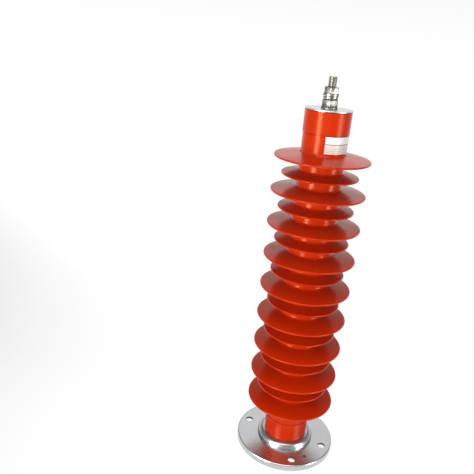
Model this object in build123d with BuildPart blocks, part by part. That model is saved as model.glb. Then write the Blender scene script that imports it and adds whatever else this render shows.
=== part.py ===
# Distribution surge arrester: silicone housing over a varistor column, on a four-hole base flange.
# All sizes in mm. The underside of the base flange is z = 0 and the column stands along +Z.
import os
from math import cos, pi, radians, sin
from build123d import *

# ---- varistor column, from the inside outwards
block_d = 52.0
block_count = 12
blocks_per_group = 3
column_clearance = 0.3
tube_wall = 6.7
spacer_h = 37.0
plate_t = 4.0
disc_spring_count = 4
disc_spring_t = 2.0
disc_spring_h = 3.5
electrode_t = 20.0
spigot_h = 12.0
seal_w = 3.0
seal_t = 2.0

# ---- silicone housing
top_neck_wall = 4.2
base_neck_wall = 6.4
collar_step = 1.1
large_reach = 47.0
small_reach = 31.7
large_shed_count = 9
shed_pitch = 57.95
base_collar_h = 35.3
base_neck_h = 42.1
top_neck_h = 42.0
top_collar_h = 36.2
rim_t = 3.2
large_rise = 9.0
small_rise = 7.5
root_t = 8.0
root_fillet = 4.5

# ---- base flange
flange_t = 12.0
flange_edge = 2.0
hub_h = 12.0
hub_land = 1.0
hub_ledge = 1.5
hub_to_bolts = 23.0
bolts_to_edge = 16.8
bolt_hole_d = 14.0
bolt_half_angle = 30.0
earth_hole_d = 6.8
earth_hole_depth = 8.0
earth_hole_angle = -9.0
earth_hole_inset = 3.4

# ---- screws, nuts and washers
stud_d = 14.0
stud_base_d = 16.0
stud_grip = 16.0
stud_end = 15.6
nut_wall = 4.0
clamp_nut_h = 11.6
terminal_nut_h = 9.9
clamp_washer_t = 2.4
clamp_washer_w = 5.0
flat_washer_t = 3.9
flat_washer_w = 5.1
lock_wire_t = 3.2
lock_wire_w = 4.6
lock_h = 5.9
screw_d = 12.0
thread_depth = 1.0
screw_grip = 18.0
screw_run_out = 2.0
hole_clearance = 0.5
clamp_nut_turn = 20.0
spring_washer_turn = 60.0
terminal_nut_turn = 15.0
cover_t = 2.0
label_t = 0.3
label_glue = 0.3
label_top_gap = 1.6
label_low_gap = 0.1
label_from = -43.0
label_span = 110.0

# ---- values that follow from the ones above
block_r = block_d / 2
tube_in_r = block_r + column_clearance
tube_r = tube_in_r + tube_wall
top_neck_r = tube_r + top_neck_wall
base_neck_r = tube_r + base_neck_wall
top_collar_r = top_neck_r + collar_step
base_collar_r = base_neck_r + collar_step
large_shed_r = tube_r + large_reach
small_shed_r = tube_r + small_reach
hub_round = hub_h - hub_land
hub_r = base_collar_r + hub_ledge + hub_round
bolt_circle_r = hub_r + hub_to_bolts
flange_r = bolt_circle_r + bolts_to_edge

hub_top = flange_t + hub_h
base_step_z = hub_top + base_collar_h
first_rim_z = base_step_z + base_neck_h
last_rim_z = first_rim_z + (large_shed_count - 1) * shed_pitch
top_step_z = last_rim_z + top_neck_h
housing_top = top_step_z + top_collar_h
tube_bottom = hub_top + electrode_t
tube_top = housing_top - electrode_t
column_bottom = tube_bottom + spigot_h
column_top = tube_top - spigot_h
group_count = block_count // blocks_per_group
column_room = column_top - column_bottom
filling_h = 2 * plate_t + group_count * spacer_h + disc_spring_count * disc_spring_h
block_h = (column_room - filling_h) / (group_count * blocks_per_group)

# a thread and the nut or tapped hole on it are both drawn half a thread deep, so they meet
stud_thread_r = (stud_d - thread_depth) / 2
stud_base_r = (stud_base_d - thread_depth) / 2
screw_thread_r = (screw_d - thread_depth) / 2

clamp_nut_af = stud_base_d + 2 * nut_wall
terminal_nut_af = stud_d + 2 * nut_wall
base_hole_r = stud_base_d / 2 + hole_clearance
stud_hole_r = stud_d / 2 + hole_clearance
screw_hole_r = screw_d / 2 + hole_clearance
cover_top = housing_top + cover_t
clamp_nut_z = cover_top + clamp_washer_t
lock_z = clamp_nut_z + clamp_nut_h
flat_washer_z = lock_z + lock_h
terminal_nut_z = flat_washer_z + flat_washer_t
stud_bottom = housing_top - stud_grip
free_end_z = terminal_nut_z + terminal_nut_h

base_washer_t = 0.2 * screw_d
base_lock_t = 0.22 * screw_d
head_h = screw_d
head_r = 0.75 * screw_d
head_recess = 0.5
recess_r = head_r + 4.5
head_top = head_recess + head_h
recess_h = head_top + base_lock_t + base_washer_t

os.makedirs("parts", exist_ok=True)


def save(part, label):
    part.label = label
    export_step(part, f"parts/{label}.step")


def ring(outer_r, inner_r, bottom, height):
    """A plain ring standing on z = bottom."""
    with BuildPart() as made:
        with BuildSketch(Plane.XY.offset(bottom)):
            Circle(outer_r)
            Circle(inner_r, mode=Mode.SUBTRACT)
        extrude(amount=height)
    return made.part


def hex_nut(across_flats, bore_r, bottom, height, turn):
    """A hexagon nut with its corners turned down to a cone at both faces."""
    corner_r = across_flats / 2 / cos(radians(30))
    drop = 0.5 * (corner_r - across_flats / 2 * 0.95)
    with BuildPart() as made:
        with BuildSketch(Plane.XY.offset(bottom)):
            RegularPolygon(corner_r, 6, rotation=turn)
            Circle(bore_r, mode=Mode.SUBTRACT)
        extrude(amount=height)
        with BuildSketch(Plane.XZ):
            with BuildLine():
                Polyline(
                    (0, bottom),
                    (across_flats / 2 * 0.95, bottom),
                    (corner_r, bottom + drop),
                    (corner_r, bottom + height - drop),
                    (across_flats / 2 * 0.95, bottom + height),
                    (0, bottom + height),
                    close=True,
                )
            make_face()
        revolve(axis=Axis.Z, mode=Mode.INTERSECT)
    return made.part


def split_washer(outer_r, inner_r, bottom, height, thick, turn):
    """A spring washer: one turn of square wire, cut through and sprung open to its full height."""
    middle_r = (outer_r + inner_r) / 2
    lift = height - thick
    with BuildPart() as made:
        with BuildLine():
            Helix(lift / 0.97, lift, middle_r, center=(0, 0, bottom + thick / 2))
        with BuildSketch(Plane.XZ):
            with Locations((middle_r, bottom + thick / 2)):
                Rectangle(outer_r - inner_r, thick)
        sweep(is_frenet=True)
    return made.part.rotate(Axis.Z, turn)


# ---- base flange: turned plate and hub, four bolt holes, a tapped earth hole and a recess below
with BuildPart() as base_flange:
    with BuildSketch(Plane.XZ):
        with BuildLine():
            Polyline(
                (0, 0),
                (flange_r, 0),
                (flange_r, flange_t),
                (hub_r, flange_t),
                (hub_r, hub_top),
                (0, hub_top),
                close=True,
            )
        flange_face = make_face()
        hub_corner = flange_face.vertices().group_by(Axis.Y)[-1].sort_by(Axis.X)[-1]
        fillet(hub_corner, hub_round)
    revolve(axis=Axis.Z)
    rim_edges = base_flange.edges().filter_by(GeomType.CIRCLE).filter_by(lambda e: e.radius > flange_r - 0.01)
    fillet(rim_edges.sort_by(Axis.Z)[-1], flange_edge)
    rim_edges = base_flange.edges().filter_by(GeomType.CIRCLE).filter_by(lambda e: e.radius > flange_r - 0.01)
    chamfer(rim_edges.sort_by(Axis.Z)[0], flange_edge / 3)
    for side in (0, 180):
        with PolarLocations(bolt_circle_r, 2, side - bolt_half_angle, 4 * bolt_half_angle):
            Hole(bolt_hole_d / 2)
    with Locations(Plane.XY.offset(flange_t)):
        with PolarLocations(bolt_circle_r - earth_hole_inset, 1, earth_hole_angle):
            Hole(earth_hole_d / 2, depth=earth_hole_depth)
    Hole(screw_hole_r)
    with BuildSketch(Plane.XY):
        Circle(recess_r)
    extrude(amount=recess_h, mode=Mode.SUBTRACT)
save(base_flange.part, "base_flange")

# ---- screw with its two washers, from below into the lower electrode
with BuildPart() as base_screw:
    with BuildSketch(Plane.XY.offset(head_recess)):
        Circle(head_r)
    extrude(amount=head_h)
    chamfer(base_screw.edges().group_by(Axis.Z)[0], 0.08 * screw_d)
    with BuildSketch(Plane.XY.offset(head_top)):
        Circle(screw_d / 2)
    extrude(amount=hub_top - head_top)
    with BuildSketch(Plane.XY.offset(hub_top)):
        Circle(screw_thread_r)
    extrude(amount=screw_grip)
    chamfer(base_screw.edges().group_by(Axis.Z)[-1], 0.1 * screw_d)
    with BuildSketch(Plane.XY.offset(head_recess)):
        RegularPolygon(0.48 * screw_d, 6)
    extrude(amount=0.5 * head_h, mode=Mode.SUBTRACT)
save(base_screw.part, "base_screw")
save(ring(head_r + 0.8, screw_hole_r, head_top, base_lock_t), "base_lock_washer")
save(ring(recess_r - 1.5, screw_hole_r, head_top + base_lock_t, base_washer_t), "base_washer")

# ---- electrodes: the aluminium end pieces, each with a spigot in the tube and a seal groove
seal_r = (tube_in_r + screw_d / 2) / 2 + seal_w
with BuildPart() as bottom_electrode:
    with BuildSketch(Plane.XY.offset(hub_top)):
        Circle(tube_r)
    extrude(amount=electrode_t)
    with BuildSketch(Plane.XY.offset(tube_bottom)):
        Circle(tube_in_r)
    extrude(amount=spigot_h)
    with BuildSketch(Plane.XY.offset(hub_top)):
        Circle(screw_thread_r)
    extrude(amount=screw_grip + screw_run_out, mode=Mode.SUBTRACT)
    with BuildSketch(Plane.XY.offset(hub_top)):
        Circle(seal_r + seal_w / 2)
        Circle(seal_r - seal_w / 2, mode=Mode.SUBTRACT)
    extrude(amount=seal_t, mode=Mode.SUBTRACT)
save(bottom_electrode.part, "bottom_electrode")
save(ring(seal_r + seal_w / 2, seal_r - seal_w / 2, hub_top, seal_t), "base_seal")

with BuildPart() as top_electrode:
    with BuildSketch(Plane.XY.offset(tube_top)):
        Circle(tube_r)
    extrude(amount=electrode_t)
    with BuildSketch(Plane.XY.offset(column_top)):
        Circle(tube_in_r)
    extrude(amount=spigot_h)
    with BuildSketch(Plane.XY.offset(housing_top)):
        Circle(stud_base_r)
    extrude(amount=-stud_grip, mode=Mode.SUBTRACT)
    with BuildSketch(Plane.XY.offset(housing_top)):
        Circle(seal_r + seal_w / 2)
        Circle(seal_r - seal_w / 2, mode=Mode.SUBTRACT)
    extrude(amount=-seal_t, mode=Mode.SUBTRACT)
save(top_electrode.part, "top_electrode")
save(ring(seal_r + seal_w / 2, seal_r - seal_w / 2, housing_top - seal_t, seal_t), "top_seal")

# ---- wound glass-fibre tube between the two electrodes
save(ring(tube_r, tube_in_r, tube_bottom, tube_top - tube_bottom), "glass_fibre_tube")

# ---- column: plate, groups of spacer and varistor blocks, plate, disc springs
level = column_bottom
with BuildPart() as lower_plate:
    with BuildSketch(Plane.XY.offset(level)):
        Circle(block_r)
    extrude(amount=plate_t)
save(lower_plate.part, "lower_plate")
level += plate_t

block_number = 0
for group in range(group_count):
    save(ring(block_r, block_r / 3, level, spacer_h), f"spacer_{group + 1}")
    level += spacer_h
    for place in range(blocks_per_group):
        block_number += 1
        with BuildPart() as block:
            with BuildSketch(Plane.XY.offset(level)):
                Circle(block_r)
            extrude(amount=block_h)
            chamfer(block.edges(), min(0.8, block_h / 8))
        save(block.part, f"varistor_{block_number}")
        level += block_h

with BuildPart() as upper_plate:
    with BuildSketch(Plane.XY.offset(level)):
        Circle(block_r)
    extrude(amount=plate_t)
save(upper_plate.part, "upper_plate")
level += plate_t

for number in range(disc_spring_count):
    inner_low = number % 2 * (disc_spring_h - disc_spring_t)
    outer_low = disc_spring_h - disc_spring_t - inner_low
    with BuildPart() as disc_spring:
        with BuildSketch(Plane.XZ):
            with BuildLine():
                Polyline(
                    (block_r / 2, level + inner_low),
                    (block_r - 1, level + outer_low),
                    (block_r - 1, level + outer_low + disc_spring_t),
                    (block_r / 2, level + inner_low + disc_spring_t),
                    close=True,
                )
            make_face()
        revolve(axis=Axis.Z)
    save(disc_spring.part, f"disc_spring_{number + 1}")
    level += disc_spring_h

# ---- housing: one moulded silicone sleeve, large and small sheds in turn, a collar at each end
sheds = []
for number in range(2 * large_shed_count - 1):
    is_large = number % 2 == 0
    rim_z = first_rim_z + number * shed_pitch / 2
    sheds.append((large_shed_r, large_rise, rim_z) if is_large else (small_shed_r, small_rise, rim_z))

profile = [(tube_r, hub_top), (base_collar_r, hub_top), (base_collar_r, base_step_z), (base_neck_r, base_step_z)]
roots = []
rims = []
for shed_r, rise, rim_z in sheds:
    along = (rim_z - first_rim_z) / (last_rim_z - first_rim_z)
    neck_r = base_neck_r + (top_neck_r - base_neck_r) * along
    upper_root = (neck_r, rim_z + rise)
    lower_root = (neck_r, rim_z + rise - root_t)
    roots += [lower_root, upper_root]
    rims += [(shed_r, rim_z - rim_t / 2), (shed_r, rim_z + rim_t / 2)]
    profile += [lower_root, rims[-2], rims[-1], upper_root]
profile += [(top_neck_r, top_step_z), (top_collar_r, top_step_z), (top_collar_r, housing_top), (tube_r, housing_top)]


def at_any(vertex, places):
    """True where a profile corner lies on one of the places."""
    return any(abs(vertex.X - x) < 1e-4 and abs(vertex.Y - z) < 1e-4 for x, z in places)


with BuildPart() as housing:
    with BuildSketch(Plane.XZ) as section:
        with BuildLine():
            Polyline(*profile, close=True)
        make_face()
        fillet(section.vertices().filter_by(lambda v: at_any(v, roots)), root_fillet)
        fillet(section.vertices().filter_by(lambda v: at_any(v, rims)), 0.46 * rim_t)
    revolve(axis=Axis.Z)
save(housing.part, "housing")

# ---- rating label: a thin curved plate stuck on the upper neck
label_top = top_step_z - label_top_gap
label_bottom = last_rim_z + large_rise + root_fillet + label_low_gap
label_r = top_neck_r + label_glue
with BuildPart() as rating_label:
    with BuildSketch(Plane.XZ):
        with BuildLine():
            Polyline(
                (label_r, label_bottom),
                (label_r + label_t, label_bottom),
                (label_r + label_t, label_top),
                (label_r, label_top),
                close=True,
            )
        make_face()
    revolve(axis=Axis.Z, revolution_arc=label_span)
save(rating_label.part.rotate(Axis.Z, label_from), "rating_label")

# ---- top end: cover plate, stud and the terminal hardware that is stacked on it
with BuildPart() as cover_plate:
    with BuildSketch(Plane.XY.offset(housing_top)):
        Circle(top_collar_r)
        Circle(base_hole_r, mode=Mode.SUBTRACT)
    extrude(amount=cover_t)
    fillet(cover_plate.edges().filter_by(GeomType.CIRCLE).group_by(Axis.Z)[-1].sort_by(Edge.length)[-1], 0.3 * cover_t)
save(cover_plate.part, "cover_plate")

# the stud is stepped: the thick end is clamped to the electrode, the thin end takes the line
with BuildPart() as terminal_stud:
    with BuildSketch(Plane.XY.offset(stud_bottom)):
        Circle(stud_base_r)
    extrude(amount=lock_z - stud_bottom)
    with BuildSketch(Plane.XY.offset(lock_z)):
        Circle(stud_thread_r)
    extrude(amount=free_end_z - lock_z)
    with BuildSketch(Plane.XY.offset(free_end_z)):
        Circle(stud_d / 2)
    extrude(amount=stud_end)
    chamfer(terminal_stud.edges().group_by(Axis.Z)[-1], 0.1 * stud_d)
save(terminal_stud.part, "terminal_stud")

save(ring(base_hole_r + clamp_washer_w, base_hole_r, cover_top, clamp_washer_t), "clamp_washer")
save(hex_nut(clamp_nut_af, stud_base_r, clamp_nut_z, clamp_nut_h, clamp_nut_turn), "clamp_nut")
lock_washer = split_washer(stud_hole_r + lock_wire_w, stud_hole_r, lock_z, lock_h, lock_wire_t, spring_washer_turn)
save(lock_washer, "spring_washer")
save(ring(stud_hole_r + flat_washer_w, stud_hole_r, flat_washer_z, flat_washer_t), "flat_washer")
save(hex_nut(terminal_nut_af, stud_thread_r, terminal_nut_z, terminal_nut_h, terminal_nut_turn), "terminal_nut")
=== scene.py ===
from math import cos, pi, radians, sin

import bpy
from mathutils import Matrix, Vector


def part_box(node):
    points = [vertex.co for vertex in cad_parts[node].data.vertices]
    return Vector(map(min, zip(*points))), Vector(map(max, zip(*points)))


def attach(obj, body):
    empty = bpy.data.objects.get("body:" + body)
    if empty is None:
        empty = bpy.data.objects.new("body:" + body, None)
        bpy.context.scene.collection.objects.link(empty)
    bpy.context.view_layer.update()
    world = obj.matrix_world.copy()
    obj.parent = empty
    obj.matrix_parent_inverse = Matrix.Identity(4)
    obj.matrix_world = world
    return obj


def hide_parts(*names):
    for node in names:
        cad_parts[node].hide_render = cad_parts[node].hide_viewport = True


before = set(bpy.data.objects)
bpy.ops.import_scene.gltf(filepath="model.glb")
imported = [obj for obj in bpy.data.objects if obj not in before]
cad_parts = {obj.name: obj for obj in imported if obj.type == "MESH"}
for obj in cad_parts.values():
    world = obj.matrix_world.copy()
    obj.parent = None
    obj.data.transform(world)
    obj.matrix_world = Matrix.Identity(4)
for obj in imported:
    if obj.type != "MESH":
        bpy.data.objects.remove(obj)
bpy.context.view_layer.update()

# ---------------------------------------------------------------- camera and studio
# One still camera stands a little above the terminal and frames the column at its right.
# The room is a pale floor that glows, a painted pool of light brightest round the column and towards the backdrop and
# dimmer at the sides, under a pale sky that is brightest behind the column.
# Soft boxes stand at both sides, overhead and weakly behind, with a matt fill in front that no surface mirrors.
camera_data = bpy.data.cameras.new("camera")
camera_data.lens = 41.73
camera_data.sensor_width = 36
camera = bpy.data.objects.new("camera", camera_data)
bpy.context.collection.objects.link(camera)
camera_right = Vector((0.57356, 0.81490, 0.08342))
camera_up = Vector((-0.32448, 0.13250, 0.93657))
camera_back = Vector((0.75216, -0.56424, 0.34042))
camera_turn = Matrix((camera_right, camera_up, camera_back)).transposed().to_4x4()
camera_place = Vector((0.6426, -0.6426, 0.7394))
camera.matrix_world = Matrix.Translation(camera_place) @ camera_turn
bpy.context.scene.camera = camera
bpy.context.scene.view_settings.view_transform = "Standard"

towards_backdrop = (-0.77, 0.64, 0)
backdrop_begins, backdrop_full = 0.28, 0.74
first_colour, second_colour, mixed_colour = 6, 7, 2  # the colour sockets of a Mix node
studio = bpy.data.worlds.new("studio")
bpy.context.scene.world = studio
studio.use_nodes = True
studio_nodes = studio.node_tree.nodes
studio_links = studio.node_tree.links
sky_direction = studio_nodes.new("ShaderNodeTexCoord")
sky_height = studio_nodes.new("ShaderNodeSeparateXYZ")
studio_links.new(sky_direction.outputs["Generated"], sky_height.inputs["Vector"])
sky_depth = studio_nodes.new("ShaderNodeVectorMath")
sky_depth.operation = "DOT_PRODUCT"
sky_depth.inputs[1].default_value = towards_backdrop
studio_links.new(sky_direction.outputs["Generated"], sky_depth.inputs[0])
backdrop_side = studio_nodes.new("ShaderNodeMapRange")
backdrop_side.inputs["From Min"].default_value = backdrop_begins
backdrop_side.inputs["From Max"].default_value = backdrop_full
studio_links.new(sky_depth.outputs["Value"], backdrop_side.inputs["Value"])
sky_mix = studio_nodes.new("ShaderNodeMix")
sky_mix.data_type = "RGBA"
studio_links.new(backdrop_side.outputs["Result"], sky_mix.inputs["Factor"])
for socket, steps in (
    (first_colour, ((0.0, 0.42), (0.15, 0.34), (0.45, 0.25), (0.7, 0.22), (1.0, 0.12))),
    (second_colour, ((0.0, 1.00), (0.14, 0.93), (0.3, 0.52), (0.5, 0.30), (0.75, 0.20), (1.0, 0.10))),
):
    sky_shade = studio_nodes.new("ShaderNodeValToRGB")
    shades = sky_shade.color_ramp.elements
    shades[0].position, first = steps[0]
    shades[0].color = (first, first, first, 1)
    shades[1].position, last = steps[-1]
    shades[1].color = (last, last, last, 1)
    for height, grey in steps[1:-1]:
        shades.new(height).color = (grey, grey, grey, 1)
    studio_links.new(sky_height.outputs["Z"], sky_shade.inputs["Fac"])
    studio_links.new(sky_shade.outputs["Color"], sky_mix.inputs[socket])
studio_links.new(sky_mix.outputs[mixed_colour], studio_nodes["Background"].inputs["Color"])

# Painted light: the floor's own glow is full within lit_radius of the column and fades by faded_radius to side_glow, or
# to backdrop_glow towards the backdrop.
floor_size, lit_radius, faded_radius = 30, 0.3, 1.6
near_glow, side_glow, backdrop_glow = 0.99, 0.41, 1.0
bpy.ops.object.select_all(action="DESELECT")
bpy.ops.mesh.primitive_plane_add(size=floor_size, location=(0, 0, 0))
floor = bpy.context.object
floor.name = "floor"
floor_finish = bpy.data.materials.new("pale floor")
floor_finish.use_nodes = True
floor_nodes = floor_finish.node_tree.nodes
floor_links = floor_finish.node_tree.links
floor_shader = floor_nodes["Principled BSDF"]
floor_shader.inputs["Base Color"].default_value = (0.02, 0.02, 0.02, 1)
floor_shader.inputs["Roughness"].default_value = 0.9
floor_shader.inputs["Specular IOR Level"].default_value = 0.0
floor_shader.inputs["Emission Color"].default_value = (1, 1, 1, 1)
floor_place = floor_nodes.new("ShaderNodeTexCoord")
floor_reach = floor_nodes.new("ShaderNodeVectorMath")
floor_reach.operation = "LENGTH"
floor_links.new(floor_place.outputs["Object"], floor_reach.inputs[0])
floor_bearing = floor_nodes.new("ShaderNodeVectorMath")
floor_bearing.operation = "NORMALIZE"
floor_links.new(floor_place.outputs["Object"], floor_bearing.inputs[0])
floor_depth = floor_nodes.new("ShaderNodeVectorMath")
floor_depth.operation = "DOT_PRODUCT"
floor_depth.inputs[1].default_value = towards_backdrop
floor_links.new(floor_bearing.outputs["Vector"], floor_depth.inputs[0])
floor_far = floor_nodes.new("ShaderNodeMapRange")
floor_far.inputs["From Min"].default_value = backdrop_begins
floor_far.inputs["From Max"].default_value = backdrop_full
floor_far.inputs["To Min"].default_value = side_glow
floor_far.inputs["To Max"].default_value = backdrop_glow
floor_links.new(floor_depth.outputs["Value"], floor_far.inputs["Value"])
floor_light = floor_nodes.new("ShaderNodeMapRange")
floor_light.interpolation_type = "SMOOTHSTEP"
floor_light.inputs["From Min"].default_value = lit_radius
floor_light.inputs["From Max"].default_value = faded_radius
floor_light.inputs["To Min"].default_value = near_glow
floor_links.new(floor_reach.outputs["Value"], floor_light.inputs["Value"])
floor_links.new(floor_far.outputs["Result"], floor_light.inputs["To Max"])
floor_links.new(floor_light.outputs["Result"], floor_shader.inputs["Emission Strength"])
floor.data.materials.append(floor_finish)

for name, bearing, distance, middle, tilt, width, height, power, mirrored in (
    ("soft box left", -80, 0.95, 0.42, 90, 0.28, 0.74, 12.5, True),
    ("soft box right", 22, 0.95, 0.42, 90, 0.24, 0.74, 6.5, True),
    ("soft box above", -45, 0.50, 1.90, 17, 1.10, 1.10, 18.5, True),
    ("soft box behind", 137, 1.90, 1.56, 50, 1.15, 1.05, 3.5, True),
    ("soft fill in front", -45, 1.60, 0.40, 90, 1.00, 0.80, 7.0, False),
):
    box_light = bpy.data.lights.new(name, "AREA")
    box_light.shape = "RECTANGLE"
    box_light.size = width
    box_light.size_y = height
    box_light.energy = power
    box = bpy.data.objects.new(name, box_light)
    bpy.context.collection.objects.link(box)
    box.location = (distance * cos(radians(bearing)), distance * sin(radians(bearing)), middle)
    box.rotation_euler = (radians(tilt), 0, radians(bearing) + pi / 2)
    box.visible_camera = False
    box.visible_glossy = mirrored

# ---------------------------------------------------------------- inner column
# Twelve grey zinc-oxide blocks with aluminium spacers, plates and disc springs are stacked in a wound glass-fibre tube.
# An aluminium electrode with a rubber seal closes each end. None of it shows on a whole arrester.


def finish(name, colour, metallic, roughness, grain, shift, relief, tint=(1, 1, 1, 1)):
    """Makes a surface whose colour, gloss and relief vary a little with a grain of the given number per metre."""
    darkest, lightest = 0.3, 0.7
    pore_depth = 0.0005
    material = bpy.data.materials.new(name)
    material.use_nodes = True
    nodes = material.node_tree.nodes
    links = material.node_tree.links
    shader = nodes["Principled BSDF"]
    shader.inputs["Metallic"].default_value = metallic
    shader.inputs["Specular Tint"].default_value = tint
    place = nodes.new("ShaderNodeTexCoord")
    patches = nodes.new("ShaderNodeTexNoise")
    patches.name = "patches"
    patches.inputs["Scale"].default_value = grain
    patches.inputs["Detail"].default_value = 5
    links.new(place.outputs["Object"], patches.inputs["Vector"])
    shades = nodes.new("ShaderNodeValToRGB")
    shades.name = "shades"
    shades.color_ramp.elements[0].position = darkest
    shades.color_ramp.elements[0].color = [c * (1 - shift) for c in colour] + [1]
    shades.color_ramp.elements[1].position = lightest
    shades.color_ramp.elements[1].color = [c * (1 + shift) for c in colour] + [1]
    links.new(patches.outputs["Fac"], shades.inputs["Fac"])
    links.new(shades.outputs["Color"], shader.inputs["Base Color"])
    gloss = nodes.new("ShaderNodeMapRange")
    gloss.inputs["From Min"].default_value = darkest
    gloss.inputs["From Max"].default_value = lightest
    gloss.inputs["To Min"].default_value = roughness * 0.85
    gloss.inputs["To Max"].default_value = roughness * 1.15
    links.new(patches.outputs["Fac"], gloss.inputs["Value"])
    links.new(gloss.outputs["Result"], shader.inputs["Roughness"])
    pores = nodes.new("ShaderNodeTexNoise")
    pores.name = "pores"
    pores.inputs["Scale"].default_value = grain * 12
    pores.inputs["Detail"].default_value = 3
    links.new(place.outputs["Object"], pores.inputs["Vector"])
    bump = nodes.new("ShaderNodeBump")
    bump.name = "bump"
    bump.inputs["Strength"].default_value = relief
    bump.inputs["Distance"].default_value = pore_depth
    links.new(pores.outputs["Fac"], bump.inputs["Height"])
    links.new(bump.outputs["Normal"], shader.inputs["Normal"])
    return material


def dress(material, *names):
    """Gives CAD nodes one material in place of the plain one they came with."""
    for name in names:
        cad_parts[name].data.materials.clear()
        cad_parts[name].data.materials.append(material)


dress(finish("zinc oxide", (0.10, 0.10, 0.105), 0.0, 0.55, 60, 0.2, 0.15), *[f"varistor_{i}" for i in range(1, 13)])
dress(finish("wound glass fibre", (0.55, 0.52, 0.30), 0.0, 0.35, 90, 0.15, 0.25), "glass_fibre_tube")
dress(
    finish("turned aluminium", (0.80, 0.80, 0.81), 1.0, 0.32, 40, 0.04, 0.08),
    "bottom_electrode", "top_electrode", "lower_plate", "upper_plate", *[f"spacer_{i}" for i in range(1, 5)],
)
dress(finish("spring steel", (0.30, 0.30, 0.31), 1.0, 0.34, 80, 0.12, 0.1), *[f"disc_spring_{i}" for i in range(1, 5)])
dress(finish("black rubber", (0.022, 0.022, 0.023), 0.0, 0.6, 70, 0.15, 0.2), "base_seal", "top_seal")

# ---------------------------------------------------------------- housing
# One sleeve of red-orange silicone rubber is moulded over the tube, with nine large sheds and eight small ones in turn.
# Its skin is satin, with the faint unevenness of cast rubber. Painted shade darkens a thin band under the top collar's
# step and a darker band under the cover.


def height_of_point(material):
    """Gives the socket with a surface point's height above the floor, in metres."""
    place = material.node_tree.nodes.new("ShaderNodeTexCoord")
    split = material.node_tree.nodes.new("ShaderNodeSeparateXYZ")
    material.node_tree.links.new(place.outputs["Object"], split.inputs["Vector"])
    return split.outputs["Z"]


def tint_by_height(material, low, high, change, tints):
    """Multiplies a finish's colour by tints that stand at shares of the height from low to high."""
    nodes = material.node_tree.nodes
    links = material.node_tree.links
    level = nodes.new("ShaderNodeMapRange")
    level.inputs["From Min"].default_value = low
    level.inputs["From Max"].default_value = high
    links.new(height_of_point(material), level.inputs["Value"])
    ramp = nodes.new("ShaderNodeValToRGB")
    ramp.color_ramp.interpolation = change
    marks = ramp.color_ramp.elements
    marks[0].position, marks[0].color = tints[0]
    marks[1].position, marks[1].color = tints[-1]
    for position, tint in tints[1:-1]:
        marks.new(position).color = tint
    links.new(level.outputs["Result"], ramp.inputs["Fac"])
    tinted = nodes.new("ShaderNodeMix")
    tinted.data_type = "RGBA"
    tinted.blend_type = "MULTIPLY"
    tinted.inputs["Factor"].default_value = 1.0
    links.new(nodes["shades"].outputs["Color"], tinted.inputs[first_colour])
    links.new(ramp.outputs["Color"], tinted.inputs[second_colour])
    links.new(tinted.outputs[mixed_colour], nodes["Principled BSDF"].inputs["Base Color"])


silicone = finish("moulded silicone", (0.36, 0.0145, 0.0004), 0.0, 0.24, 14, 0.03, 0.05, tint=(1.0, 0.45, 0.22, 1))
bloom = silicone.node_tree.nodes["Principled BSDF"]
bloom.inputs["Specular IOR Level"].default_value = 0.36
bloom.inputs["Sheen Weight"].default_value = 0.06
bloom.inputs["Sheen Roughness"].default_value = 0.4
bloom.inputs["Sheen Tint"].default_value = (1.0, 0.42, 0.25, 1)
# Painted shade: the sleeve's colour is darkened in a thin band just under the top collar's step and more deeply just
# under the cover, where shade falls.
collar_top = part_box("cover_plate")[0].z
collar_height, shade_band_height = 0.0362, 0.0010
shade_band_low = collar_top - collar_height - 2 * shade_band_height
shade_band = shade_band_height / (collar_top - shade_band_low)
unshaded, sleeve_painted_shade, sleeve_deep_painted_shade = (1, 1, 1, 1), (0.4, 0.4, 0.4, 1), (0.2, 0.2, 0.2, 1)
tint_by_height(
    silicone, shade_band_low, collar_top, "LINEAR",
    (
        (0.6 * shade_band, unshaded), (shade_band, sleeve_painted_shade), (1.9 * shade_band, sleeve_painted_shade), (2.2 * shade_band, unshaded),
        (1 - 1.4 * shade_band, unshaded), (1 - 0.9 * shade_band, sleeve_deep_painted_shade), (1.0, sleeve_deep_painted_shade),
    ),
)
dress(silicone, "housing")

# ---------------------------------------------------------------- rating label
# A curved sticker of white plastic film, glued to the upper neck. It carries no words.
# A dark rule parts its plain upper field from a ruled lower one, as on a blank form.
label_low, label_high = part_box("rating_label")
label_film = finish("label film", (0.55, 0.55, 0.525), 0.0, 0.42, 300, 0.02, 0.03)
bare, pale_ink, dark_ink = (1.0, 1.0, 1.0, 1), (0.72, 0.50, 0.42, 1), (0.10, 0.07, 0.06, 1)
tint_by_height(
    label_film, label_low.z, label_high.z, "CONSTANT",
    (
        (0.0, bare), (0.07, pale_ink), (0.12, bare), (0.17, pale_ink), (0.22, bare), (0.27, pale_ink), (0.32, bare),
        (0.37, pale_ink), (0.42, bare), (0.47, pale_ink), (0.50, bare), (0.535, dark_ink), (0.575, bare),
    ),
)
dress(label_film, "rating_label")

# ---------------------------------------------------------------- base flange
# The foot is a cast aluminium alloy plate and hub, turned all over, with four bolt holes and a tapped earth hole.
# The lathe left fine rings round its axis. The drilled walls carry painted light, near white, with a band of painted
# shade under their mouths.


def turned(material, rings_per_metre, relief):
    """Runs the relief of a finish round the column's axis, as a lathe leaves it."""
    nodes = material.node_tree.nodes
    links = material.node_tree.links
    place = nodes.new("ShaderNodeTexCoord")
    across = nodes.new("ShaderNodeVectorMath")
    across.name = "across"
    across.operation = "MULTIPLY"
    across.inputs[1].default_value = (1, 1, 0)
    links.new(place.outputs["Object"], across.inputs[0])
    radius = nodes.new("ShaderNodeVectorMath")
    radius.operation = "LENGTH"
    links.new(across.outputs["Vector"], radius.inputs[0])
    nodes["pores"].noise_dimensions = "1D"
    nodes["pores"].inputs["Scale"].default_value = rings_per_metre
    links.new(radius.outputs["Value"], nodes["pores"].inputs["W"])
    nodes["bump"].inputs["Strength"].default_value = relief
    return material


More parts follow.
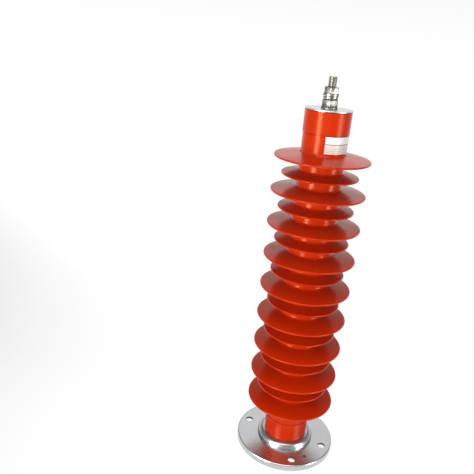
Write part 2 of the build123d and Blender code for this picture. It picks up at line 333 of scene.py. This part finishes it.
flange_metal = turned(finish("turned flange", (0.55, 0.56, 0.57), 1.0, 0.28, 22, 0.05, 0.05), 1300, 0.06)
bolt_hole_x, bolt_hole_y, bolt_hole_radius, plate_top = 0.0658, 0.0380, 0.0070, 0.0120
edge_outside, edge_inside = bolt_hole_radius + 0.0004, bolt_hole_radius + 0.0001
# Painted shade: the top of each bolt hole's wall, from bore_shade_low up to its mouth, is darkened where shade falls.
bore_shade_low, bore_shade_high = plate_top - 0.0050, plate_top - 0.0028
nodes = flange_metal.node_tree.nodes
links = flange_metal.node_tree.links
one_quarter = nodes.new("ShaderNodeVectorMath")
one_quarter.operation = "ABSOLUTE"
links.new(nodes["across"].outputs["Vector"], one_quarter.inputs[0])
from_hole = nodes.new("ShaderNodeVectorMath")
from_hole.operation = "DISTANCE"
from_hole.inputs[1].default_value = (bolt_hole_x, bolt_hole_y, 0)
links.new(one_quarter.outputs["Vector"], from_hole.inputs[0])
in_hole = nodes.new("ShaderNodeMapRange")
in_hole.inputs["From Min"].default_value = edge_outside
in_hole.inputs["From Max"].default_value = edge_inside
links.new(from_hole.outputs["Value"], in_hole.inputs["Value"])
mouth = nodes.new("ShaderNodeMapRange")
mouth.inputs["From Min"].default_value = bore_shade_low
mouth.inputs["From Max"].default_value = bore_shade_high
links.new(height_of_point(flange_metal), mouth.inputs["Value"])
# Painted light and shade: the bolt holes' walls are coloured near white below and near black at the top.
bore_painted_light_and_shade = nodes.new("ShaderNodeMix")
bore_painted_light_and_shade.data_type = "RGBA"
bore_painted_light_and_shade.inputs[first_colour].default_value = (0.93, 0.93, 0.91, 1)
bore_painted_light_and_shade.inputs[second_colour].default_value = (0.08, 0.075, 0.07, 1)
links.new(mouth.outputs["Result"], bore_painted_light_and_shade.inputs["Factor"])
plate_or_hole = nodes.new("ShaderNodeMix")
plate_or_hole.data_type = "RGBA"
links.new(in_hole.outputs["Result"], plate_or_hole.inputs["Factor"])
links.new(nodes["shades"].outputs["Color"], plate_or_hole.inputs[first_colour])
links.new(bore_painted_light_and_shade.outputs[mixed_colour], plate_or_hole.inputs[second_colour])
links.new(plate_or_hole.outputs[mixed_colour], nodes["Principled BSDF"].inputs["Base Color"])
dress(flange_metal, "base_flange")

# ---------------------------------------------------------------- screw under the flange
# A zinc-plated steel socket screw, with a spring washer and a plain one under its head.
# It is put in from below, in the flange's recess, and holds the flange to the lower electrode.
zinc = finish("zinc plate", (0.56, 0.56, 0.53), 1.0, 0.38, 120, 0.10, 0.1)
dress(zinc, "base_screw", "base_lock_washer", "base_washer")

# ---------------------------------------------------------------- cover plate
# A disc of stainless sheet, cut out and faced on the lathe, so fine rings run round its middle.
# It closes the top of the sleeve and is held down by the clamp nut.
dress(turned(finish("faced stainless", (0.68, 0.67, 0.66), 1.0, 0.38, 30, 0.04, 0.05), 1800, 0.05), "cover_plate")

# ---------------------------------------------------------------- terminal stud
# A stepped stainless stud: its thick end is screwed into the top electrode.
# Its thin end has a rolled M14 thread of 2 mm pitch that ends at a turned chamfer.
stud_low, stud_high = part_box("terminal_stud")
step_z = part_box("clamp_nut")[1].z
pitch, crest_radius, root_radius = 0.0020, 0.0070, 0.0059
chamfer, thick_end_radius = 0.0014, 0.0075
spare_turns = 2

bpy.ops.object.select_all(action="DESELECT")
bpy.ops.mesh.primitive_plane_add(size=0.001, location=(root_radius, 0, step_z - spare_turns * pitch))
stud = bpy.context.object
stud.name = "terminal_stud_threaded"
bpy.ops.object.transform_apply(location=True, rotation=True, scale=True)
bpy.ops.object.mode_set(mode="EDIT")
bpy.ops.mesh.select_mode(type="VERT")
bpy.ops.mesh.select_all(action="SELECT")
bpy.ops.mesh.merge(type="CENTER")
thread_profile = ((0, 0.15), (0.5, 0.14), (0.5, 0.14), (0, 0.14), (-0.5, 0.14), (-0.5, 0.14), (0, 0.15))
for outwards, upwards in thread_profile:
    step = ((crest_radius - root_radius) * outwards, 0, pitch * upwards)
    bpy.ops.mesh.extrude_region_move(TRANSFORM_OT_translate={"value": step})
bpy.ops.object.mode_set(mode="OBJECT")
thread = stud.modifiers.new("thread", "SCREW")
thread.axis = "Z"
thread.angle = 2 * pi
thread.screw_offset = pitch
thread.iterations = int((stud_high.z - step_z) / pitch) + 1 + 2 * spare_turns
thread.steps = 48
thread.render_steps = 48
bpy.ops.object.modifier_apply(modifier="thread")
for cut_z, above in ((step_z - pitch / 4, False), (stud_high.z, True)):
    bpy.ops.object.mode_set(mode="EDIT")
    bpy.ops.mesh.select_all(action="SELECT")
    bpy.ops.mesh.bisect(
        plane_co=(0, 0, cut_z), plane_no=(0, 0, 1), use_fill=True, clear_outer=above, clear_inner=not above
    )
    bpy.ops.object.mode_set(mode="OBJECT")
bpy.ops.object.mode_set(mode="EDIT")
bpy.ops.mesh.select_all(action="SELECT")
bpy.ops.mesh.remove_doubles(threshold=0.000005)
bpy.ops.mesh.normals_make_consistent(inside=False)
bpy.ops.object.mode_set(mode="OBJECT")


def pick_faces(piece, chosen):
    """Leaves the piece in edit mode with only the faces selected that the test picks by place and normal."""
    bpy.ops.object.select_all(action="DESELECT")
    piece.select_set(True)
    bpy.context.view_layer.objects.active = piece
    bpy.ops.object.mode_set(mode="EDIT")
    bpy.ops.mesh.select_mode(type="FACE")
    bpy.ops.mesh.select_all(action="DESELECT")
    bpy.ops.object.mode_set(mode="OBJECT")
    for face in piece.data.polygons:
        face.select = chosen(face)
    bpy.ops.object.mode_set(mode="EDIT")


def rod(radius, bottom, top, corners=96, turn=0.0):
    """Adds a plain round or many-sided rod on the column's axis, with its place in its mesh."""
    bpy.ops.object.select_all(action="DESELECT")
    bpy.ops.mesh.primitive_cylinder_add(
        vertices=corners, radius=radius, depth=top - bottom, location=(0, 0, (top + bottom) / 2), rotation=(0, 0, turn)
    )
    bpy.ops.object.transform_apply(location=True, rotation=True, scale=True)
    return bpy.context.object


def cut_with(piece, tool, operation):
    """Applies one Boolean to the piece and removes the tool."""
    cut = piece.modifiers.new("cut", "BOOLEAN")
    cut.operation = operation
    cut.solver = "EXACT"
    cut.object = tool
    bpy.ops.object.select_all(action="DESELECT")
    piece.select_set(True)
    bpy.context.view_layer.objects.active = piece
    bpy.ops.object.modifier_apply(modifier="cut")
    bpy.data.objects.remove(tool)


chamfered = rod(crest_radius + 0.0002, step_z - 2 * pitch, stud_high.z)
pick_faces(chamfered, lambda face: face.normal.z > 0.9)
bpy.ops.mesh.bevel(offset=chamfer, segments=1, affect="EDGES")
bpy.ops.object.mode_set(mode="OBJECT")
cut_with(stud, chamfered, "INTERSECT")
cut_with(stud, rod(thick_end_radius, stud_low.z, step_z, corners=64), "UNION")
bpy.ops.object.shade_smooth_by_angle(angle=radians(30))
stud.data.materials.clear()
stud.data.materials.append(finish("stud steel", (0.36, 0.34, 0.30), 1.0, 0.45, 180, 0.18, 0.12))
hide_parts("terminal_stud")
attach(stud, "root")

# ---------------------------------------------------------------- clamp washer and clamp nut
# The lower, larger nut pulls the column together over a stamped plain washer.
# Its flats are nickel plate, darker than the terminal nut's, and its corners are turned down to a cone; its edges take
# a still darker nickel, painted shade.
washer_steel = turned(finish("bright washer", (0.34, 0.33, 0.305), 1.0, 0.32, 150, 0.10, 0.1), 2600, 0.05)
# The clamp nut's nickel is darker than the terminal nut's.
darker_nickel = finish("darker nickel", (0.195, 0.186, 0.17), 1.0, 0.34, 160, 0.06, 0.06)
# Painted shade: a darker nickel on the nuts' rounded corners and broken edges, for the dark lines of shade along them.
edge_painted_shade = finish("nickel edge with painted shade", (0.16, 0.15, 0.13), 1.0, 0.42, 400, 0.3, 0.2)


def finish_edges(piece, width, segments, over, edge_material=-1):
    """Rounds each edge sharper than the given angle and leaves the rest smooth."""
    rounding = piece.modifiers.new("rounding", "BEVEL")
    rounding.width = width
    rounding.segments = segments
    rounding.limit_method = "ANGLE"
    rounding.angle_limit = radians(over)
    rounding.material = edge_material
    bpy.ops.object.select_all(action="DESELECT")
    piece.select_set(True)
    bpy.context.view_layer.objects.active = piece
    bpy.ops.object.modifier_apply(modifier="rounding")
    bpy.ops.object.shade_smooth_by_angle(angle=radians(30))


drill_reach = 0.001


def plain_washer(node, bore_radius, material):
    """Stamps a flat ring to the box of its CAD node."""
    stamped_edge = 0.0004
    low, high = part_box(node)
    washer = rod(high.x, low.z, high.z)
    washer.name = node + "_stamped"
    cut_with(washer, rod(bore_radius, low.z - drill_reach, high.z + drill_reach), "DIFFERENCE")
    washer.data.materials.clear()
    washer.data.materials.append(material)
    finish_edges(washer, stamped_edge, 3, 60)
    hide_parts(node)
    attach(washer, "root")


def hex_nut(node, flats, bore_radius, turn, plating):
    """Forms a nut to the height of its CAD node, with rounded upright edges in a darker nickel of painted shade and
    cones at both ends.
    """
    corner_rounding, broken_edge = 0.0005, 0.00022
    cone_slope, end_face_share = 0.6, 0.95
    low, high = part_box(node)
    corner = flats / 2 / cos(radians(30))
    nut = rod(corner, low.z, high.z, corners=6, turn=radians(turn - 30))
    nut.name = node + "_forged"
    nut.data.materials.append(plating)
    nut.data.materials.append(edge_painted_shade)
    bpy.ops.object.mode_set(mode="EDIT")
    bpy.ops.mesh.select_mode(type="EDGE")
    bpy.ops.mesh.select_all(action="DESELECT")
    bpy.ops.object.mode_set(mode="OBJECT")
    for edge in nut.data.edges:
        ends = [nut.data.vertices[v].co for v in edge.vertices]
        edge.select = abs(ends[0].z - ends[1].z) > (high.z - low.z) / 2
    bpy.ops.object.mode_set(mode="EDIT")
    # The rounded corners take the darker edge nickel, painted shade.
    bpy.ops.mesh.bevel(offset=corner_rounding, segments=2, material=1)
    bpy.ops.object.mode_set(mode="OBJECT")
    drop = (corner - flats / 2) * cone_slope
    blank = rod(corner + 0.0001, low.z + drop, high.z - drop)
    blank.data.materials.append(plating)
    blank.data.materials.append(edge_painted_shade)
    for side in (1, -1):
        pick_faces(blank, lambda face: face.normal.z * side > 0.9)
        bpy.ops.mesh.inset(thickness=corner - flats / 2 * end_face_share)
        bpy.ops.transform.translate(value=(0, 0, drop * side))
        bpy.ops.object.mode_set(mode="OBJECT")
    cut_with(nut, blank, "INTERSECT")
    cut_with(nut, rod(bore_radius, low.z - drill_reach, high.z + drill_reach), "DIFFERENCE")
    finish_edges(nut, broken_edge, 2, 24, edge_material=1)
    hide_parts(node)
    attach(nut, "root")


plain_washer("clamp_washer", bore_radius=0.0085, material=washer_steel)
hex_nut("clamp_nut", flats=0.024, bore_radius=0.0080, turn=20, plating=darker_nickel)

# ---------------------------------------------------------------- terminal washers and nut
# A split spring washer of square wire, a thick plain washer and a smaller, brighter nut wait for the line's cable lug.
# The spring washer keeps its CAD solid, one turn of a helix with its ends apart.
dress(finish("washer spring steel", (0.34, 0.33, 0.31), 1.0, 0.34, 150, 0.12, 0.1), "spring_washer")
plain_washer("flat_washer", bore_radius=0.0075, material=washer_steel)
lighter_nickel = finish("lighter nickel", (0.285, 0.275, 0.255), 1.0, 0.32, 160, 0.06, 0.06)
hex_nut("terminal_nut", flats=0.022, bore_radius=0.0070, turn=15, plating=lighter_nickel)
